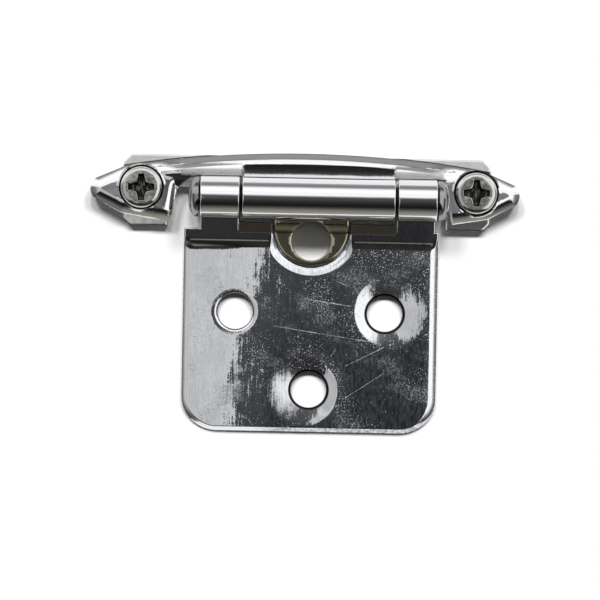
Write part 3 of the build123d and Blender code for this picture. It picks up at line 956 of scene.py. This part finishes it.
chromeSheet, chromeWing, chromePin, chromePlate = leafChrome(), wingChrome(), pinChrome(), plateChrome()
screwMetal, springMetal = screwSteel(), springSteel()
for name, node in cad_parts.items():
    node.data.materials.clear()
    node.data.materials.append(springMetal if name == "closing_spring" else chromeWing)
print("materials made")

makeDoorLeaf()
makeHingePin()
makeBasePlate()
makeFrameWing()
makeClosingSpring()
makeScrew("wingScrewLeft", "wing_screw_left", wingScrew["x"][0])
makeScrew("wingScrewRight", "wing_screw_right", wingScrew["x"][1])


# Camera straight above; the view's middle lies on the leaf and the lens axis a little to its left
camera = {
    "height": 525, "x": -10.0, "y": -16.7, "viewX": -1.65, "viewY": -16.7, "viewWidth": 98.85, "roll": 1.1,
    "sensor": 36,
}
lens = bpy.data.cameras.new("photoCamera")
lens.sensor_width = camera["sensor"]
lens.lens = lens.sensor_width * camera["height"] / camera["viewWidth"]
lens.shift_x = (camera["viewX"] - camera["x"]) / camera["viewWidth"]
lens.shift_y = (camera["viewY"] - camera["y"]) / camera["viewWidth"]
lens.clip_start = 0.01
eye = bpy.data.objects.new("photoCamera", lens)
eye.location = Vector((camera["x"], camera["y"], camera["height"])) * mm
eye.rotation_euler = (0, 0, radians(camera["roll"]))
bpy.context.collection.objects.link(eye)
scene.camera = eye
scene.view_settings.view_transform = "Standard"

paper = {"half": 400, "z": -0.05, "colour": "#FFFFFF"}
half = paper["half"] * mm
floorMesh = bpy.data.meshes.new("floor")
paperCorners = [(-half, -half, 0), (half, -half, 0), (half, half, 0), (-half, half, 0)]
floorMesh.from_pydata(paperCorners, [], [(0, 1, 2, 3)])
floor = bpy.data.objects.new("floor", floorMesh)
bpy.context.collection.objects.link(floor)
material, add = newMaterial("whitePaper")
add("OutputMaterial", Surface=add("BsdfDiffuse", Color=hexColour(paper["colour"])))
floorMesh.materials.append(material)
floor.location.z = paper["z"] * mm


# Colour that follows an angle, through stops of (degrees, colour), where one number is a grey
def byAngle(add, angle, stops):
    low, high = stops[0][0], stops[-1][0]
    band = add("ValToRGB", add(straight, angle, low, high))
    elements = band.node.color_ramp.elements
    for i, (degree, colour) in enumerate(stops):
        spot = (degree - low) / (high - low)
        stop = elements[0] if i == 0 else elements[-1] if i == len(stops) - 1 else elements.new(spot)
        stop.position = spot
        stop.color = (*np.broadcast_to(colour, 3).tolist(), 1)
    return band


# Brightness of the studio by angle: of the dark screen and the walls by rise, and a gain on the walls by side
studio = {
    "screen": (
        (-120, (0.6, 0.59, 0.55)), (-92, (0.335, 0.33, 0.29)), (-78, (0.257, 0.252, 0.22)),
        (-70, (0.217, 0.212, 0.185)), (-63, (0.155, 0.152, 0.13)), (-57, (0.103, 0.1, 0.085)),
        (-51, (0.057, 0.056, 0.049)), (-45, (0.02, 0.02, 0.017)), (-39, (0.0098, 0.0098, 0.009)),
        (-28, (0.0165, 0.0165, 0.016)), (-16, (0.032, 0.032, 0.033)), (-8, (0.048, 0.049, 0.052)),
        (0, (0.066, 0.067, 0.071)), (6, (0.085, 0.086, 0.09)), (11, 0.22), (16, 0.7),
    ),
    "walls": (
        (-90, (0.14, 0.14, 0.13)), (-50, (0.2, 0.2, 0.19)), (-20, 0.56), (10, 0.62), (17, 0.8), (22, 1.1),
        (30, 0.95), (40, 1.2), (55, 1.0), (63, 0.42), (70, 0.2), (77, 0.22), (84, 0.33), (92, 0.4),
        (100, 0.58),
    ),
    "gains": (
        (-75, 0.25), (-60, 0.3), (-30, 1.0), (-12, 0.75), (-8, 1.2), (-5, 0.8), (-2.5, 1.1), (6, 1.1),
        (12, 1.8), (42, 1.8), (60, 0.4), (75, 0.25),
    ),
    "seenInMetal": 1.15, "ambient": 0.12,
    "suns": (-28, 0, 28), "sunSlope": 42, "sunEnergy": 1.4, "sunAngle": 13,
}


# Studio round the object, by direction: side is the angle to the right and rise the angle towards +Y,
# both from straight up
# A dark screen leans in from below the picture; a bright window is above it, and the walls are pale
def makeStudio():
    world = bpy.data.worlds.new("studio")
    scene.world = world
    world.use_nodes = True
    world.node_tree.nodes.clear()
    add = partial(addNode, world.node_tree)
    parts = add("SeparateXYZ", add("TexCoord", out="Generated")).node.outputs
    tilt = add(times, add("Math ARCCOSINE", parts[2]), 180 / pi)
    azimuth = add("Math ARCTAN2", parts[0], parts[1])
    side = add(times, tilt, add("Math SINE", azimuth))
    rise = add(times, tilt, add("Math COSINE", azimuth))

    screen = byAngle(add, rise, studio["screen"])
    gain = add(blend, add(fade, rise, 10, 22), byAngle(add, side, studio["gains"]), (1, 1, 1, 1))
    walls = add("VectorMath MULTIPLY", byAngle(add, rise, studio["walls"]), gain)
    edgeLeft = add(minus, add(straight, rise, -10, -40, -1.7, -42), add(fade, rise, 4, 7, 0, 6))
    edgeRight = add(straight, rise, -10, -55, 7, 50)
    fromLeft = add(fade, add(minus, side, edgeLeft), -0.3, 0.3)
    fromRight = add(fade, add(minus, edgeRight, side), -1.5, 1.5)
    inScreen = product(add, fromLeft, fromRight, add(fade, rise, 17, 9))
    colour = add(blend, inScreen, walls, screen)
    extra = studio["seenInMetal"] - studio["ambient"]
    strength = add(timesPlus, add("LightPath", out="Is Glossy Ray"), extra, studio["ambient"])
    add("OutputWorld", Surface=add("Background", Color=colour, Strength=strength))


makeStudio()
# A long light beyond the wing, as three suns that stand at the same slope across the barrel
for azimuth in np.radians(studio["suns"]):
    key = bpy.data.lights.new("key", "SUN")
    key.energy = studio["sunEnergy"]
    key.angle = radians(studio["sunAngle"])
    keyObject = bpy.data.objects.new("key", key)
    keyObject.rotation_euler = (-atan2(tan(radians(studio["sunSlope"])), cos(azimuth)), 0, -azimuth)
    keyObject.visible_glossy = False
    bpy.context.collection.objects.link(keyObject)
print("camera, floor and lights set")
